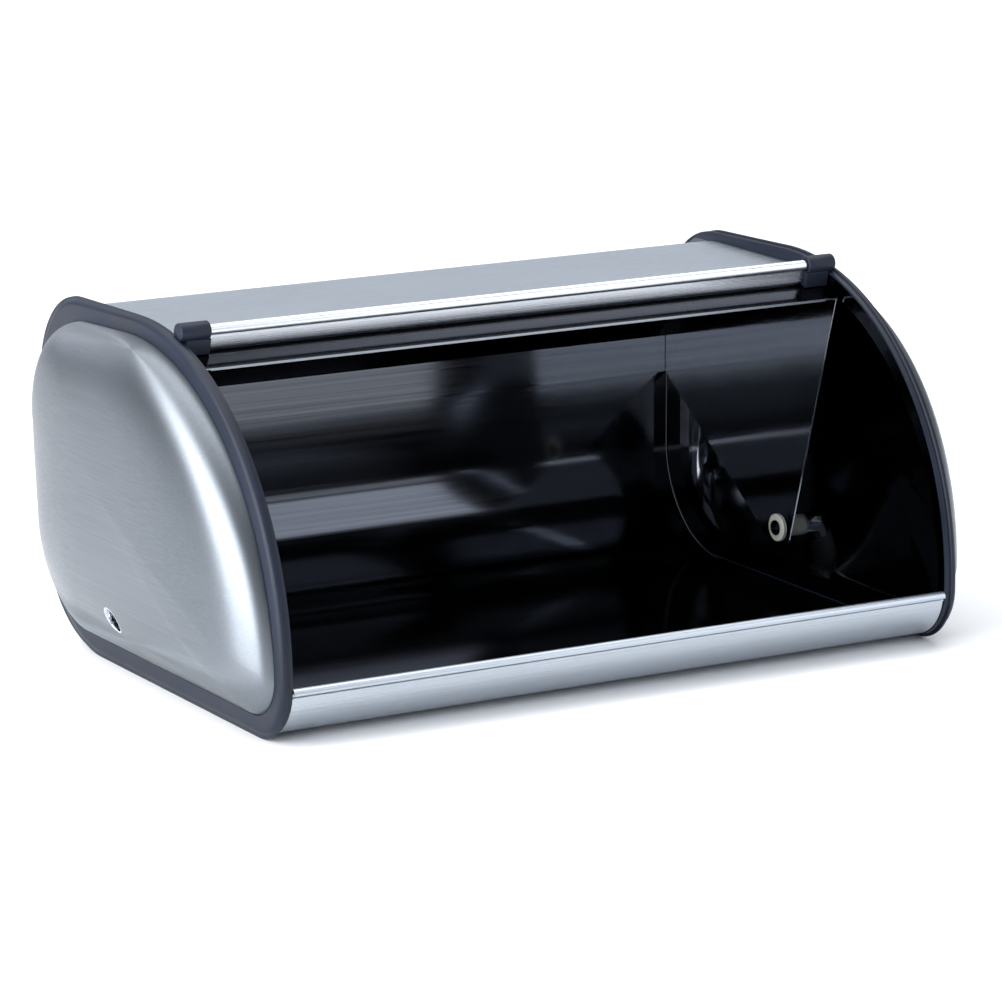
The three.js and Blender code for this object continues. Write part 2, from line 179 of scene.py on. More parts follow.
def side_circles(front_z, front_r, high, back, low, r_top, r_rear, r_front):
    """Front, rear top, rear bottom and front bottom circle of a side outline, as (centre, radius)."""
    corner_z = low + r_front
    corner_y = PIVOT[0] - math.sqrt((front_r - r_front) ** 2 - (corner_z - front_z) ** 2)
    return [
        ((PIVOT[0], front_z), front_r),
        ((back - r_top, high - r_top), r_top),
        ((back - r_rear, low + r_rear), r_rear),
        ((corner_y, corner_z), r_front),
    ]


def hand_over(a, b):
    """The angle at which an outline leaves circle a, along the common tangent, for circle b."""
    (ya, za), ra = a
    (yb, zb), rb = b
    distance = math.hypot(yb - ya, zb - za)
    lean = math.acos(min(max((ra - rb) / distance, -1), 1))
    return math.degrees(math.atan2(yb - ya, zb - za) - lean)


def side_outline(size, inset=0.0, top=math.inf, bottom=-math.inf):
    """A closed side outline, moved in by an inset and held between two levels."""
    circles = side_circles(**size)
    points = []
    for i, (centre, r) in enumerate(circles):
        start = hand_over(circles[i - 1], circles[i])
        span = (hand_over(circles[i], circles[(i + 1) % len(circles)]) - start + 720) % 360
        points.append([on_circle(centre, r - inset, start + span * k / ARC_STEPS)
                       for k in range(ARC_STEPS + 1)])
    for round_part, following in zip(points, points[1:]):
        last = round_part.pop()
        round_part += [mix(last, following[0], k / RUN_STEPS) for k in range(RUN_STEPS)]
    points[-1].pop()
    return [(y, min(max(z, bottom), top)) for part in points for y, z in part]


# ------------------------------------------------------------------ building meshes
class Shape:
    """Points and faces gathered for one piece, with the number of a finish for each face."""

    def __init__(self):
        self.points = []
        self.faces = []
        self.finishes = []

    def face(self, corners, finish=0):
        self.faces.append(corners)
        self.finishes.append(finish)

    def add(self, points):
        start = len(self.points)
        self.points += [Vector(p) for p in points]
        return start

    def loft(self, loops, finish=0, joined=False, capped=False):
        """Quads through closed loops of equal length; joined makes a ring of them."""
        count = len(loops[0])
        starts = [self.add(loop) for loop in loops]
        pairs = list(zip(starts, starts[1:])) + ([(starts[-1], starts[0])] if joined else [])
        for a, b in pairs:
            for k in range(count):
                n = (k + 1) % count
                self.face((a + k, a + n, b + n, b + k), finish)
        if capped:
            self.face(tuple(range(starts[0], starts[0] + count)), finish)
            self.face(tuple(range(starts[-1], starts[-1] + count)), finish)
        return starts

    def sheet(self, outer, inner, x0, x1, finish=0, inside=0):
        """A bent sheet between two lines of equal length, extruded along X."""
        rows = [[self.add([(x0, y, z), (x1, y, z)]) for y, z in line] for line in (outer, inner)]
        for line, look in zip(rows, (finish, inside)):
            for a, b in zip(line, line[1:]):
                self.face((a, a + 1, b + 1, b), look)
        for end in (0, 1):
            for k in range(len(outer) - 1):
                (a, b), (c, d) = rows[0][k:k + 2], rows[1][k:k + 2]
                self.face((a + end, b + end, d + end, c + end), finish)
        for k in (0, -1):
            a, b = rows[0][k], rows[1][k]
            self.face((a, a + 1, b + 1, b), finish)

    def block(self, outline, x0, x1, finish=0):
        """An outline of the side plane, extruded along X."""
        self.loft([[(x, y, z) for y, z in outline] for x in (x0, x1)], finish, capped=True)

    def turned(self, profile, place, finish=0, sides=40, joined=False):
        """A profile of (radius, height) turned about the axis of a placing matrix."""
        loops = []
        for r, h in profile:
            ring = [(r * math.cos(a), r * math.sin(a), h)
                    for a in (2 * math.pi * i / sides for i in range(sides))]
            loops.append([place @ Vector(p) for p in ring])
        self.loft(loops, finish, joined, capped=not joined)


def along_x(centre, x):
    """Places a turned profile with its axis along X at a point of the side plane."""
    return Matrix.Translation((x, *centre)) @ Matrix.Rotation(math.pi / 2, 4, "Y")


def away_from_pivot(x, angle):
    """Places a turned profile with its axis pointing away from the pivot; height is the radius."""
    return Matrix.Translation((x, *PIVOT)) @ Matrix.Rotation(-math.radians(angle), 4, "X")


def piece(name, shape, looks, body, slot, node=None, side=1, bevel=0.0, sharp=32):
    """A shape as an object that rides on a body and stands for a CAD node."""
    mesh = bpy.data.meshes.new(name)
    points = [(p.x * side * MM, p.y * MM, p.z * MM) for p in shape.points]
    mesh.from_pydata(points, [], shape.faces)
    mesh.polygons.foreach_set("material_index", shape.finishes)
    for look in looks:
        mesh.materials.append(look)
    work = bmesh.new()
    work.from_mesh(mesh)
    bmesh.ops.remove_doubles(work, verts=work.verts, dist=1e-7)
    bmesh.ops.recalc_face_normals(work, faces=work.faces)
    for edge in work.edges:
        edge.smooth = len(edge.link_faces) == 2 and edge.calc_face_angle(0) < math.radians(sharp)
    work.to_mesh(mesh)
    work.free()
    mesh.polygons.foreach_set("use_smooth", [True] * len(mesh.polygons))
    obj = bpy.data.objects.new(name, mesh)
    bpy.context.scene.collection.objects.link(obj)
    if bevel:
        rounding = obj.modifiers.new("rounded edges", "BEVEL")
        rounding.width = bevel * MM
        rounding.segments = 2
        rounding.limit_method = "ANGLE"
        rounding.angle_limit = math.radians(sharp)
        rounding.harden_normals = True
    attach(obj, body)
    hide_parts(node or name)
    return obj


def pair(name, make, looks, body, slot, **options):
    """The same piece on the right and, mirrored, on the left."""
    for side, word in ((1, "right"), (-1, "left")):
        node = f"{name}_{word}"
        piece(f"{node}_detail", make(), looks, body, slot, node=node, side=side, **options)


# ------------------------------------------------------------------ materials
def rgb(text):
    """A colour picked as #rrggbb, as the linear values that shaders take."""
    channels = [int(text[i:i + 2], 16) / 255 for i in (1, 3, 5)]
    return [c / 12.92 if c <= 0.04045 else ((c + 0.055) / 1.055) ** 2.4 for c in channels] + [1]


class Nodes:
    """A material's node tree, with short ways to add to it."""

    def __init__(self, name):
        self.material = bpy.data.materials.new(name)
        self.material.use_nodes = True
        self.tree = self.material.node_tree
        self.shader = self.tree.nodes["Principled BSDF"]

    def add(self, kind, settings=(), **inputs):
        node = self.tree.nodes.new(kind)
        for key, value in dict(settings).items():
            setattr(node, key, value)
        for key, value in inputs.items():
            self.set(node, key.replace("_", " "), value)
        return node

    def set(self, node, key, value):
        socket = node.inputs[int(key) if key.isdigit() else key]
        if isinstance(value, bpy.types.NodeSocket):
            self.tree.links.new(value, socket)
        else:
            socket.default_value = value

    def place(self, scale):
        where = self.add("ShaderNodeTexCoord")
        return self.add("ShaderNodeMapping", Vector=where.outputs["Object"], Scale=scale).outputs[0]

    def noise(self, scale, detail=3.0, roughness=0.55, size=1.0):
        return self.add("ShaderNodeTexNoise", Vector=self.place(scale), Scale=size, Detail=detail,
                        Roughness=roughness).outputs["Fac"]

    def spread(self, value, low, high, from_low=0.3, from_high=0.7):
        """A noise value brought to a range."""
        node = self.add("ShaderNodeMapRange", Value=value, From_Min=from_low, From_Max=from_high,
                        To_Min=low, To_Max=high)
        return node.outputs["Result"]

    def blend(self, factor, a, b):
        """Colour a where the factor is 0 and b where it is 1."""
        node = self.add("ShaderNodeMix", {"data_type": "RGBA"})
        self.set(node, "0", factor)
        node.inputs[6].default_value = a
        node.inputs[7].default_value = b
        return node.outputs[2]

    def bump(self, height, distance, strength=1.0, under=None):
        node = self.add("ShaderNodeBump", Height=height, Distance=distance, Strength=strength)
        if under:
            self.set(node, "Normal", under)
        return node.outputs["Normal"]

    def surface(self, **inputs):
        for key, value in inputs.items():
            self.set(self.shader, key.replace("_", " "), value)
        return self.material


def brushed_steel(name, light, dark, grain, across_axis, rotation, roughness):
    """Satin steel with straight hairlines; grain scales the noise, low along the lines."""
    n = Nodes(name)
    lines = n.noise(grain, detail=4, roughness=0.7)
    cloud = n.noise((7, 7, 7), detail=2)
    tangent = n.add("ShaderNodeTangent", {"direction_type": "RADIAL", "axis": across_axis})
    fine = n.bump(lines, 0.00004, 0.35)
    rough = n.add("ShaderNodeMath", {"operation": "ADD"})
    n.set(rough, "0", n.spread(lines, roughness - 0.05, roughness + 0.07))
    n.set(rough, "1", n.spread(cloud, -0.02, 0.02))
    return n.surface(
        Base_Color=n.blend(n.spread(lines, 0, 1), light, dark), Metallic=1.0,
        Roughness=rough.outputs[0], Anisotropic=0.75, Anisotropic_Rotation=rotation,
        Normal=n.bump(cloud, 0.0006, 0.25, under=fine), Tangent=tangent.outputs[0])


def polished_steel(name, light, dark, roughness=0.09):
    """Mirror steel with the slight waves of thin rolled sheet and faint rubbing marks."""
    n = Nodes(name)
    marks = n.noise((3, 900, 900), detail=4, roughness=0.65)
    waves = n.noise((6, 18, 18), detail=1)
    return n.surface(
        Base_Color=n.blend(n.spread(marks, 0, 1), light, dark), Metallic=1.0,
        Roughness=n.spread(marks, roughness - 0.03, roughness + 0.05),
        Normal=n.bump(waves, 0.0012, 0.1))


def moulded_plastic(name, light, dark):
    """Dark moulded plastic with a fine spark-eroded texture and dull, slightly rubbed patches."""
    n = Nodes(name)
    texture = n.noise((1400, 1400, 1400), detail=2)
    patches = n.noise((22, 22, 22), detail=4)
    return n.surface(
        Base_Color=n.blend(n.spread(patches, 0, 1), dark, light),
        Roughness=n.spread(patches, 0.38, 0.5), Specular_IOR_Level=0.25,
        Normal=n.bump(texture, 0.00006, 0.5))


def turned_metal(name, colour, dark):
    """Rivet steel with faint forming marks."""
    n = Nodes(name)
    marks = n.noise((600, 600, 600), detail=3)
    return n.surface(Base_Color=n.blend(n.spread(marks, 0, 1), colour, dark), Metallic=1.0,
                     Roughness=n.spread(marks, 0.22, 0.38), Normal=n.bump(marks, 0.00003, 0.4))


def nylon(name, light, dark):
    """Natural nylon, slightly translucent."""
    n = Nodes(name)
    cloud = n.noise((160, 160, 160), detail=3)
    return n.surface(Base_Color=n.blend(n.spread(cloud, 0, 1), light, dark),
                     Roughness=n.spread(cloud, 0.45, 0.6), Subsurface_Weight=0.15,
                     Normal=n.bump(cloud, 0.00008, 0.3))


SHEET_STEEL = brushed_steel("brushed sheet steel", rgb("#b6bdc5"), rgb("#a7afb8"),
                            (4, 2200, 2200), "X", 0.0, 0.3)
# The cover steel is a darker copy of the body's brushed steel: painted shade that makes the covers'
# flat faces read darker.
COVER_STEEL_PAINTED_SHADE = brushed_steel("brushed cover steel with painted shade", rgb("#7d838a"), rgb("#757b82"),
                            (1800, 4, 1800), "Z", 0.25, 0.4)
# The inside steel is the same polished steel given a dark colour: painted shade for the box's shaded
# interior.
INSIDE_STEEL_PAINTED_SHADE = polished_steel("polished inside steel with painted shade", rgb("#565a61"), rgb("#46494f"), 0.1)
# The strip steel is near-black: painted shade on the lid's strip in front of the handle.
STRIP_STEEL_PAINTED_SHADE = polished_steel("polished strip with painted shade", rgb("#2c2f35"), rgb("#222429"), 0.1)
BRIGHT_STEEL = polished_steel("polished bright steel", rgb("#d6dae0"), rgb("#c6cbd2"), 0.07)
HANDLE_STEEL = brushed_steel("brushed handle steel", rgb("#dfe3e9"), rgb("#d2d7de"),
                             (4, 2200, 2200), "X", 0.0, 0.24)
PLASTIC = moulded_plastic("dark moulded plastic", rgb("#1a2130"), rgb("#141a26"))
FIXING = turned_metal("formed rivet steel", rgb("#b8bcc2"), rgb("#9da1a8"))
# The pivot rivet steel is near-black: painted shade that makes the hole at the pivot read dark.
PIVOT_RIVET_PAINTED_SHADE = turned_metal("rivet steel darkened as painted shade of the hole", rgb("#1e2024"), rgb("#121316"))
NYLON = nylon("natural nylon", rgb("#dcd9cd"), rgb("#cfcbbd"))


# ------------------------------------------------------------------ body sheets
def back_panel():
    """Hemmed front edge, flat top, round rear corners, back, and a flange under the floor."""
    back = BACK_Y - BODY_INSET
    rear_r = FRAME_SIZE["r_rear"] - BODY_INSET

    def line(inset):
        top_start, top_end = TOP_FRONT_Y + GAP, back - TOP_CORNER_R - 1
        return [
            *[(lerp(top_start, top_end, i / 6), TOP_Z - inset) for i in range(7)],
            *arc((back - TOP_CORNER_R, TOP_Z - TOP_CORNER_R), TOP_CORNER_R - inset, 0, 90),
            *arc((back - rear_r, BODY_INSET + rear_r), rear_r - inset, 90, 180),
            (SEAM_Y, BODY_INSET + inset),
        ]

    shape = Shape()
    shape.sheet(line(0), line(SHEET), -SHEET_X, SHEET_X, finish=0, inside=1)
    fold_r = SHEET + 0.05
    crease_r = 0.08
    fold = (TOP_FRONT_Y + fold_r, TOP_Z - fold_r)
    hem = [*arc(fold, fold_r, 0, -180, 12), (TOP_FRONT_Y + HEM, TOP_Z - 2 * fold_r)]
    hem_inside = [*arc(fold, crease_r, 0, -180, 12), (TOP_FRONT_Y + HEM, TOP_Z - fold_r - 0.1)]
    shape.sheet(hem, hem_inside, -SHEET_X, SHEET_X, finish=0, inside=1)
    return shape


def base_tray():
    """Floor lapped over the back panel's flange, round front corner, lip with a rolled bead."""
    corner, corner_r = side_circles(**FRAME_SIZE)[3]
    bead_r = corner_r - BEAD_INSET - LIP_BEAD_R
    lip_angle = 270 - math.degrees(math.asin((corner[1] + LIP_BEAD_R - LIP_TOP_Z) / bead_r))
    bead = on_circle(corner, bead_r, lip_angle)

    def line(inset):
        return [(BACK_Y - FRAME_SIZE["r_rear"], inset), *arc(corner, corner_r - inset, 180, lip_angle)]

    floor_inset = BODY_INSET + SHEET + GAP
    shape = Shape()
    shape.sheet(line(floor_inset), line(floor_inset + SHEET), -SHEET_X, SHEET_X, finish=0, inside=1)
    curl = (200, -110, 8)
    curl_thickness = 0.6
    shape.sheet(arc(bead, LIP_BEAD_R, *curl), arc(bead, LIP_BEAD_R - curl_thickness, *curl),
                -SHEET_X, SHEET_X)
    return shape


# ------------------------------------------------------------------ side covers and trims
def flange_outline(clearance):
    return side_outline(FRAME_SIZE, FLANGE_INSET - clearance, FLANGE_TOP + clearance,
                        FLANGE_BOTTOM - clearance)


def at_x(x, points):
    return [(x, y, z) for y, z in points]


def dome_loop(step, inset):
    """A ring of the dome: step is 0 at its edge and 1 at its flat middle. Low down it leans in."""
    loop = []
    for edge in side_outline(DOME_SIZE, inset):
        angle = math.atan2(edge[1] - CORE[1], edge[0] - CORE[0])
        across = STEEPNESS["rear" if edge[0] > CORE[0] else "front"] * math.cos(angle) ** 2
        upward = STEEPNESS["top" if edge[1] > CORE[1] else "bottom"] * math.sin(angle) ** 2
        y, z = mix(edge, CORE, step * (1 - CORE_SCALE))
        below = max(0, (CORE[1] - z) / (CORE[1] - DOME_SIZE["low"]))
        height = BULGE * (1 - LEAN * below ** LEAN_POWER)
        rise = height * (1 - (1 - step) ** (across + upward)) ** EDGE_POWER
        loop.append((DOME_X - inset + rise, y, z))
    return loop


def soften(loops, passes=240, held=3, inner_reach=6):
    """Evens out the height of a dome's rings, apart from the first few at its edge.

    The points of the inner rings are closer together, so there it reaches over more of them.
    """
    heights = [[p[0] for p in loop] for loop in loops]
    count = len(heights[0])
    for _ in range(passes):
        previous = heights
        heights = previous[:held]
        for i in range(held, len(previous) - 1):
            reach = round(lerp(1, inner_reach, i / len(previous)))
            below, row, above = previous[i - 1:i + 2]
            evened = []
            for k in range(count):
                along = row[k - reach] + row[(k + reach) % count]
                evened.append((4 * row[k] + along + below[k] + above[k]) / 8)
            heights.append(evened)
        heights.append(previous[-1])
    return [[(x, p[1], p[2]) for x, p in zip(row, loop)] for row, loop in zip(heights, loops)]


def dome(inset):
    """The dome's rings from its edge to its flat middle, and on to the middle's centre."""
    loops = [dome_loop((i / DOME_RINGS) ** RING_CROWDING, inset) for i in range(DOME_RINGS + 1)]
    flat = loops[-1]
    middle = (sum(p[0] for p in flat) / len(flat), *CORE)
    for t in (0.2, 0.4, 0.6, 0.8, 0.97):
        loops.append([tuple(Vector(p).lerp(Vector(middle), t)) for p in flat])
    return soften(loops)


def side_cover():
    """The cover's shell before its hole is cut: dome, skirt and flange."""
    shape = Shape()
    inner, outer = dome(SHEET), dome(0)
    shape.loft([*reversed(inner), at_x(FLANGE_X, side_outline(DOME_SIZE, SHEET))], finish=1)
    shape.loft([at_x(FLANGE_X, side_outline(DOME_SIZE, SHEET)), at_x(FLANGE_X, flange_outline(0)),
                at_x(FLANGE_X + SHEET, flange_outline(0)),
                at_x(FLANGE_X + SHEET, side_outline(DOME_SIZE))], finish=1)
    shape.loft([at_x(FLANGE_X + SHEET, side_outline(DOME_SIZE)), *outer], finish=0)
    for loops, finish in ((inner, 1), (outer, 0)):
        hub = shape.add(loops[-1])
        shape.face(tuple(range(hub, hub + len(loops[-1]))), finish)
    return shape


def dimple(dome_skin):
    """The pressed cup around the rivet, from the dome's surface down to the rivet's seat."""
    angles = [360 * i / HOLE_SIDES for i in range(HOLE_SIDES)]

    def surface_x(r, angle):
        y, z = on_circle(PIVOT, r, angle)
        outside = Vector((2 * DOME_X * MM, y * MM, z * MM))
        return dome_skin.ray_cast(outside, Vector((-1, 0, 0)))[0].x / MM

    loops = []
    lift = 0.03
    for share, drop in ((1.12, 0.0), (1.0, 0.02), (0.97, 0.12), (0.94, 0.4), (0.92, 0.9)):
        r = share * HOLE_R
        loops.append([(surface_x(r, a) + lift - drop, *on_circle(PIVOT, r, a)) for a in angles])
    seat = [(0.89 * HOLE_R, 0.5), (0.84 * HOLE_R, 0.1), (0.78 * HOLE_R, 0), (RIVET_R + GAP, 0),
            (RIVET_R + GAP, -SHEET), (HOLE_R, -SHEET)]
    for r, rise in seat:
        loops.append([(SEAT_X + rise, *on_circle(PIVOT, r, a)) for a in angles])
    shape = Shape()
    shape.loft(loops, joined=True)
    return shape


def trim():
    """Moulded edge trim: rail, step, rounded shoulder, and a slot over the cover's flange."""
    behind_flange = FLANGE_X + SHEET + GAP
    lip = side_outline(DOME_SIZE, -GAP)
    step_x = TRIM_X + RAIL_WIDTH
    foot_x = step_x + STEP_DRAFT + FOOT_WIDTH
    loops = [
        at_x(TRIM_X, flange_outline(GAP)),
        at_x(TRIM_X, side_outline(RAIL_SIZE, 0.5)),
        at_x(TRIM_X + 0.15, side_outline(RAIL_SIZE, 0.15)),
        at_x(TRIM_X + 0.5, side_outline(RAIL_SIZE)),
        at_x(step_x, side_outline(RAIL_SIZE)),
        at_x(step_x + STEP_DRAFT, side_outline(RIM_SIZE, 0.3)),
        at_x(step_x + STEP_DRAFT + 0.3, side_outline(RIM_SIZE)),
        at_x(foot_x, side_outline(RIM_SIZE)),
    ]
    for i in range(2, 11):
        a = math.radians(9 * i)
        inset = SHOULDER_ROUNDING * (1 - math.cos(a))
        loops.append(at_x(lerp(foot_x, DOME_X, math.sin(a)), side_outline(SHOULDER_SIZE, inset)))
    loops += [at_x(DOME_X, lip), at_x(behind_flange, lip), at_x(behind_flange, flange_outline(GAP))]
    shape = Shape()
    shape.loft(loops, joined=True)
    return shape


# ------------------------------------------------------------------ pivots
def tube(bore, outer, length, rounding=0.25):
    """The closed profile of a tube with rounded outer edges, as (radius, height)."""
    return [(bore, 0), (outer - rounding, 0), (outer, rounding), (outer, length - rounding),
            (outer - rounding, length), (bore, length)]


def pivot_rivet():
    """Tubular rivet: flange in the dimple, barrel, and a rolled head inside the lid."""
    head_x = WASHER_X - GAP - RIVET_FLANGE_T
    flange_x = SEAT_X + GAP
    length = flange_x + RIVET_FLANGE_T - head_x
    profile = [
        (RIVET_BORE_R, 0.3), (RIVET_BORE_R + 0.35, 0), (RIVET_FLANGE_R - 0.5, 0.1),
        (RIVET_FLANGE_R, 0.55), (RIVET_FLANGE_R, RIVET_FLANGE_T), (RIVET_R, RIVET_FLANGE_T),
        (RIVET_R, length - RIVET_FLANGE_T), (RIVET_FLANGE_R, length - RIVET_FLANGE_T),
        (RIVET_FLANGE_R, length - 0.45), (RIVET_FLANGE_R - 0.5, length - 0.05),
        (RIVET_BORE_R + 0.5, length), (RIVET_BORE_R, length - 0.5),
    ]
    shape = Shape()
    shape.turned(profile, along_x(PIVOT, head_x), joined=True)
    return shape


def pivot_bush():
    shape = Shape()
    shape.turned(tube(RIVET_R + GAP, BUSH_R, SEAT_X - SHEET - GAP - BUSH_X, 0.6),
                 along_x(PIVOT, BUSH_X), joined=True)
    return shape


def pivot_washer():
    shape = Shape()
    shape.turned(tube(RIVET_R + RUNNING, WASHER_R, WASHER_T), along_x(PIVOT, WASHER_X), joined=True)
    return shape


# ------------------------------------------------------------------ lid
def tail_angle(inset):
    return math.degrees(math.asin((LID_TAIL_Y - PIVOT[0] - inset) / (LID_R - inset)))


def lid_line(inset, turn=1.0):
    drum = pivot_arc(LID_R - inset, LID_FRONT, tail_angle(inset), turn)
    return [*drum, (LID_TAIL_Y - inset, LID_TAIL_Z)]


def lid_sheet():
    """Rolled drum sheet with a flat tail and an inward hem along its front edge."""
    width = PLATE_X + PLATE_T
    hem_x = PLATE_X - PLATE_FLANGE - 2 * GAP
    hem = (LID_FRONT, LID_FRONT + math.degrees(HEM / LID_R))
    shape = Shape()
    shape.sheet(lid_line(0), lid_line(SHEET), -width, width, finish=0, inside=1)
    # The strip's faces take the near-black strip steel: painted shade.
    for k in range(round(HANDLE_ANGLE - LID_FRONT)):
        shape.finishes[k] = 2       # the strip in front of the handle, a degree to each face
    shape.sheet(pivot_arc(LID_R - SHEET, *hem), pivot_arc(LID_R - 1.9 * SHEET, *hem), -hem_x, hem_x)
    return shape


def lid_end_plate():
    """A sector from the hub to the lid sheet, with folded tabs under the sheet."""
    inset = SHEET + GAP
    rim = lid_line(inset, 2)

    def tangent_angle(point, side):
        away = math.hypot(point[0] - PIVOT[0], point[1] - PIVOT[1])
        lean = math.degrees(math.acos(HUB_R / away))
        return math.degrees(math.atan2(point[0] - PIVOT[0], point[1] - PIVOT[1])) + side * lean

    outline = [*rim, *pivot_arc(HUB_R, tangent_angle(rim[-1], 1), tangent_angle(rim[0], -1) + 360, 6)]
    shape = Shape()
    shape.block(outline, PLATE_X, PLATE_X + PLATE_T)
    tabs = 11
    pitch = (tail_angle(inset) - LID_FRONT) / tabs
    for i in range(tabs):
        start = LID_FRONT + i * pitch
        ends = (start + 0.08 * pitch, start + 0.92 * pitch)
        shape.sheet(pivot_arc(LID_R - inset, *ends), pivot_arc(LID_R - inset - PLATE_T, *ends),
                    PLATE_X - PLATE_FLANGE, PLATE_X + PLATE_T / 2)
    return shape


# ------------------------------------------------------------------ handle
HANDLE_BEAD = on_circle(PIVOT, HANDLE_R, HANDLE_ANGLE)


def by_handle(r, t):
    """A point r away from the pivot along the fin and t behind the fin's middle."""
    a = math.radians(HANDLE_ANGLE)
    return (PIVOT[0] + r * math.sin(a) + t * math.cos(a), PIVOT[1] + r * math.cos(a) - t * math.sin(a))


def handle_strip():
    """A rolled bead on a fin that stands square on the lid, with a foot behind it."""
    fin_end = CAP_X - 0.5 - GAP
    foot_r = LID_R + GAP + FOOT_T
    shape = Shape()
    shape.block(arc(HANDLE_BEAD, BEAD_R, 0, 352.5, 7.5), -BEAD_END, BEAD_END)
    bend = 1.6
    heights = [foot_r + bend + (HANDLE_R - foot_r - bend) * i / 4 for i in range(5)]
    front = [by_handle(r, -FIN_T / 2) for r in reversed(heights)]
    rear = [by_handle(r, FIN_T / 2) for r in reversed(heights)]
    steps = 6
    for i in range(1, steps + 1):
        a = math.radians(90 * i / steps)
        front.append(by_handle(foot_r - FOOT_T + (bend + FOOT_T) * (1 - math.sin(a)),
                               -FIN_T / 2 + (bend + FIN_T) * (1 - math.cos(a))))
        rear.append(by_handle(foot_r + bend * (1 - math.sin(a)), FIN_T / 2 + bend * (1 - math.cos(a))))
    foot_start = HANDLE_ANGLE + math.degrees((FIN_T / 2 + bend) / foot_r)
    front += pivot_arc(foot_r - FOOT_T, foot_start, FOOT_END, 0.8)[1:]
    rear += pivot_arc(foot_r, foot_start, FOOT_END, 0.8)[1:]
    shape.sheet(front, rear, -fin_end, fin_end)
    return shape


def handle_cap():
    """A sleeve over the bead's end that rides on the trim's rail, and a block down to the lid."""
    sleeve_end = TRIM_X + RAIL_WIDTH - GAP
    shape = Shape()
    profile = [(BEAD_R + GAP, 0), (CAP_R - 0.5, 0), (CAP_R - 0.15, 0.15), (CAP_R, 0.5),
               (CAP_R, sleeve_end - CAP_X - 0.9), (CAP_R - 0.25, sleeve_end - CAP_X - 0.3),
               (CAP_R - 0.9, sleeve_end - CAP_X), (0.01, sleeve_end - CAP_X),
               (0.01, BEAD_END + GAP - CAP_X), (BEAD_R + GAP, BEAD_END + GAP - CAP_X)]
    shape.turned(profile, along_x(HANDLE_BEAD, CAP_X), joined=True)
    low, high = LID_R + GAP, HANDLE_R - BEAD_R - GAP
    outline = [by_handle(low, CAP_FRONT), by_handle(high, CAP_FRONT), by_handle(high, FIN_T / 4),
               by_handle(low, FIN_T / 4)]
    shape.block(outline, CAP_X - 0.5, TRIM_X - 2 * GAP)
    return shape


def handle_rivet(x):
    """A rivet through the handle's foot and the lid sheet, with a domed head on each side."""
    outside = LID_R + GAP + FOOT_T + GAP
    inside = LID_R - SHEET - GAP
    profile = [(0.05, inside - 0.9), (1.2, inside - 0.82), (2.0, inside - 0.5),
               (HANDLE_RIVET_HEAD_R, inside), (FIXING_R, inside), (FIXING_R, outside),
               (HANDLE_RIVET_HEAD_R, outside), (2.2, outside + 0.45), (1.5, outside + 0.8),
               (0.05, outside + 0.9)]
    shape = Shape()
    shape.turned(profile, away_from_pivot(x, HANDLE_RIVET_ANGLE), sides=24)
    return shape


def cap_screw():
    """A pan-head screw with a hollow drive, from inside the lid up into the cap's block."""
    inside = LID_R - SHEET - GAP
    profile = [(0.5, inside - 0.7), (0.55, inside - 1.25), (1.6, inside - 1.3), (2.3, inside - 0.9),
               (CAP_SCREW_HEAD_R, inside - 0.3), (CAP_SCREW_HEAD_R, inside), (FIXING_R, inside),
               (FIXING_R, LID_R + 4.6), (0.6, LID_R + 5)]
    shape = Shape()
    shape.turned(profile, away_from_pivot(CAP_SCREW_X, CAP_SCREW_ANGLE), sides=24)
    return shape


# ------------------------------------------------------------------ the object
def cut_hole(cover, side):
    """Drills a cover at the pivot, with a boolean modifier that is then applied."""
    drill = bmesh.new()
    bmesh.ops.create_cone(drill, cap_ends=True, segments=HOLE_SIDES, radius1=HOLE_R * MM,
                          radius2=HOLE_R * MM, depth=DRILL_LENGTH * MM)
    bmesh.ops.rotate(drill, verts=drill.verts, matrix=Matrix.Rotation(math.pi / 2, 3, "Y"))
    middle = (side * DRILL_X * MM, PIVOT[0] * MM, PIVOT[1] * MM)
    bmesh.ops.translate(drill, verts=drill.verts, vec=middle)
    cutter = bpy.data.objects.new("cutter", bpy.data.meshes.new("cutter"))
    drill.to_mesh(cutter.data)
    drill.free()
    bpy.context.scene.collection.objects.link(cutter)
    hole = cover.modifiers.new("hole", "BOOLEAN")
    hole.object = cutter
    hole.operation = "DIFFERENCE"
    hole.solver = "EXACT"
    evaluated = cover.evaluated_get(bpy.context.evaluated_depsgraph_get())
    drilled = bpy.data.meshes.new_from_object(evaluated)
    cover.modifiers.clear()
    cover.data = drilled
    bpy.data.objects.remove(cutter)


def make_covers():
    """Both covers: the shell with a hole cut at the pivot, and the pressed cup that fills it."""
    shell = side_cover()
    skin = BVHTree.FromPolygons([p * MM for p in shell.points], shell.faces)
    cup = dimple(skin)
    for side, word in ((1, "right"), (-1, "left")):
        node = f"side_cover_{word}"
        # The cover's outside takes the darkened cover steel: painted shade.
        cover = piece(f"{node}_detail", shell, [COVER_STEEL_PAINTED_SHADE, INSIDE_STEEL_PAINTED_SHADE], "box", "brushed_steel",
                      node=node, side=side)
        cut_hole(cover, side)
        piece(f"{node}_dimple", cup, [BRIGHT_STEEL], "box", "brushed_steel", node=node, side=side)


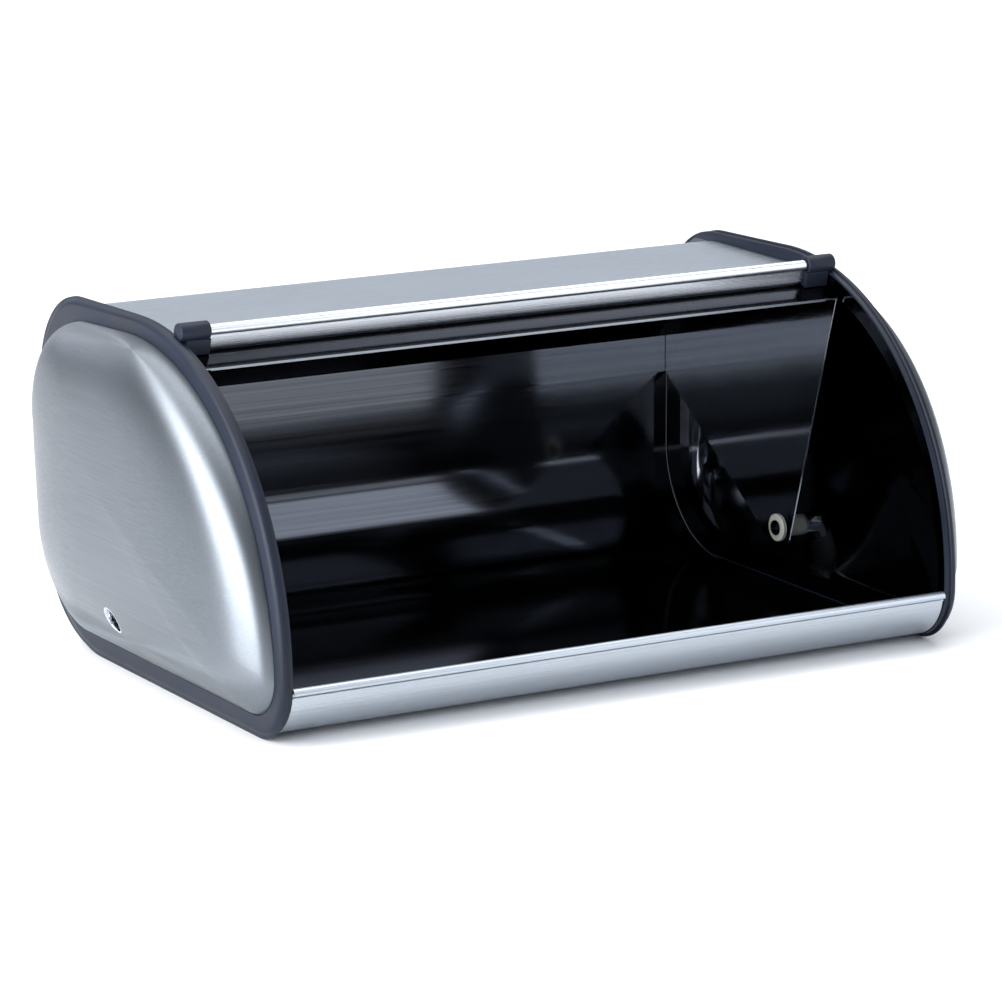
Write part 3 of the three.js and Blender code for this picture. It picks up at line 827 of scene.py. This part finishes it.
def make_object():
    piece("back_panel_detail", back_panel(), [SHEET_STEEL, INSIDE_STEEL_PAINTED_SHADE], "box", "brushed_steel",
          node="back_panel", bevel=0.15)
    piece("base_tray_detail", base_tray(), [SHEET_STEEL, INSIDE_STEEL_PAINTED_SHADE], "box", "brushed_steel",
          node="base_tray", bevel=0.15)
    make_covers()
    pair("trim", trim, [PLASTIC], "box", "dark_plastic", sharp=40)
    # The pivot rivets take the near-black steel: painted shade of the hole.
    pair("pivot_rivet", pivot_rivet, [PIVOT_RIVET_PAINTED_SHADE], "box", "rivet_steel", sharp=50)
    pair("pivot_bush", pivot_bush, [NYLON], "box", "nylon", sharp=50)
    pair("pivot_washer", pivot_washer, [NYLON], "box", "nylon", sharp=50)
    piece("lid_sheet_detail", lid_sheet(), [SHEET_STEEL, INSIDE_STEEL_PAINTED_SHADE, STRIP_STEEL_PAINTED_SHADE], "lid",
          "polished_steel", node="lid_sheet", bevel=0.15)
    pair("lid_end_plate", lid_end_plate, [BRIGHT_STEEL], "lid", "polished_steel", bevel=0.2)
    piece("handle_strip_detail", handle_strip(), [HANDLE_STEEL], "lid", "polished_steel",
          node="handle_strip", bevel=0.2)
    pair("handle_cap", handle_cap, [PLASTIC], "lid", "dark_plastic", bevel=0.5)
    pair("cap_screw", cap_screw, [FIXING], "lid", "rivet_steel", sharp=50)
    for i, x in enumerate(HANDLE_RIVET_X, 1):
        piece(f"handle_rivet_{i}_detail", handle_rivet(x), [FIXING], "lid", "rivet_steel",
              node=f"handle_rivet_{i}", sharp=50)


# ------------------------------------------------------------------ studio and camera, in metres
OBJECT_MIDDLE = Vector((0, 0, 0.09))


def towards(azimuth, elevation):
    """The direction away from the object; azimuth 0 is in front of it and 90 to its right."""
    a, e = math.radians(azimuth), math.radians(elevation)
    return Vector((math.sin(a) * math.cos(e), -math.cos(a) * math.cos(e), math.sin(e)))


def make_floor():
    mesh = bpy.data.meshes.new("floor")
    half = 9
    mesh.from_pydata([(-half, -half, 0), (half, -half, 0), (half, half, 0), (-half, half, 0)], [],
                     [(0, 1, 2, 3)])
    floor = bpy.data.objects.new("floor", mesh)
    bpy.context.scene.collection.objects.link(floor)
    n = Nodes("pale floor")
    mesh.materials.append(n.surface(Base_Color=rgb("#f4f5f6"), Roughness=0.8, Specular_IOR_Level=0.2))


def make_light(name, azimuth, elevation, distance, width, height, power, colour):
    """A softbox that faces the object."""
    data = bpy.data.lights.new(name, "AREA")
    data.shape = "RECTANGLE"
    data.size, data.size_y = width, height
    data.energy = power
    data.color = rgb(colour)[:3]
    light = bpy.data.objects.new(name, data)
    away = towards(azimuth, elevation)
    light.location = away * distance + OBJECT_MIDDLE
    light.rotation_mode = "QUATERNION"
    light.rotation_quaternion = away.to_track_quat("Z", "Y")
    light.visible_camera = False
    bpy.context.scene.collection.objects.link(light)


def make_studio():
    world = bpy.data.worlds.new("studio")
    bpy.context.scene.world = world
    world.use_nodes = True
    sky = world.node_tree.nodes["Background"]
    sky.inputs["Color"].default_value = rgb("#dfe6f0")
    sky.inputs["Strength"].default_value = 0.25
    make_light("overhead softbox", 160, 76, 5.0, 7.0, 7.0, 400, "#ffffff")
    make_light("left softbox", -76, 12, 1.7, 1.4, 1.4, 54, "#ffffff")
    make_light("left high softbox", -104, 40, 2.2, 0.9, 0.9, 16, "#ffffff")
    make_light("rear left softbox", -162, 22, 3.0, 1.8, 1.2, 8, "#f4f7ff")
    make_light("right front softbox", 42, 22, 2.6, 1.6, 2.0, 20, "#f4f7ff")
    make_light("backdrop glow", 150, 14, 3.4, 4.0, 1.2, 10, "#e6eef8")


def make_camera():
    data = bpy.data.cameras.new("camera")
    data.sensor_width = 36
    data.lens = 173.97
    camera = bpy.data.objects.new("camera", data)
    camera.location = (-1.2287, -2.1110, 0.6411)
    camera.rotation_mode = "QUATERNION"
    camera.rotation_quaternion = towards(-30.28, 13.09).to_track_quat("Z", "Y")
    bpy.context.scene.collection.objects.link(camera)
    bpy.context.scene.camera = camera


make_camera()
make_object()
make_floor()
make_studio()
bpy.context.scene.view_settings.view_transform = "Standard"
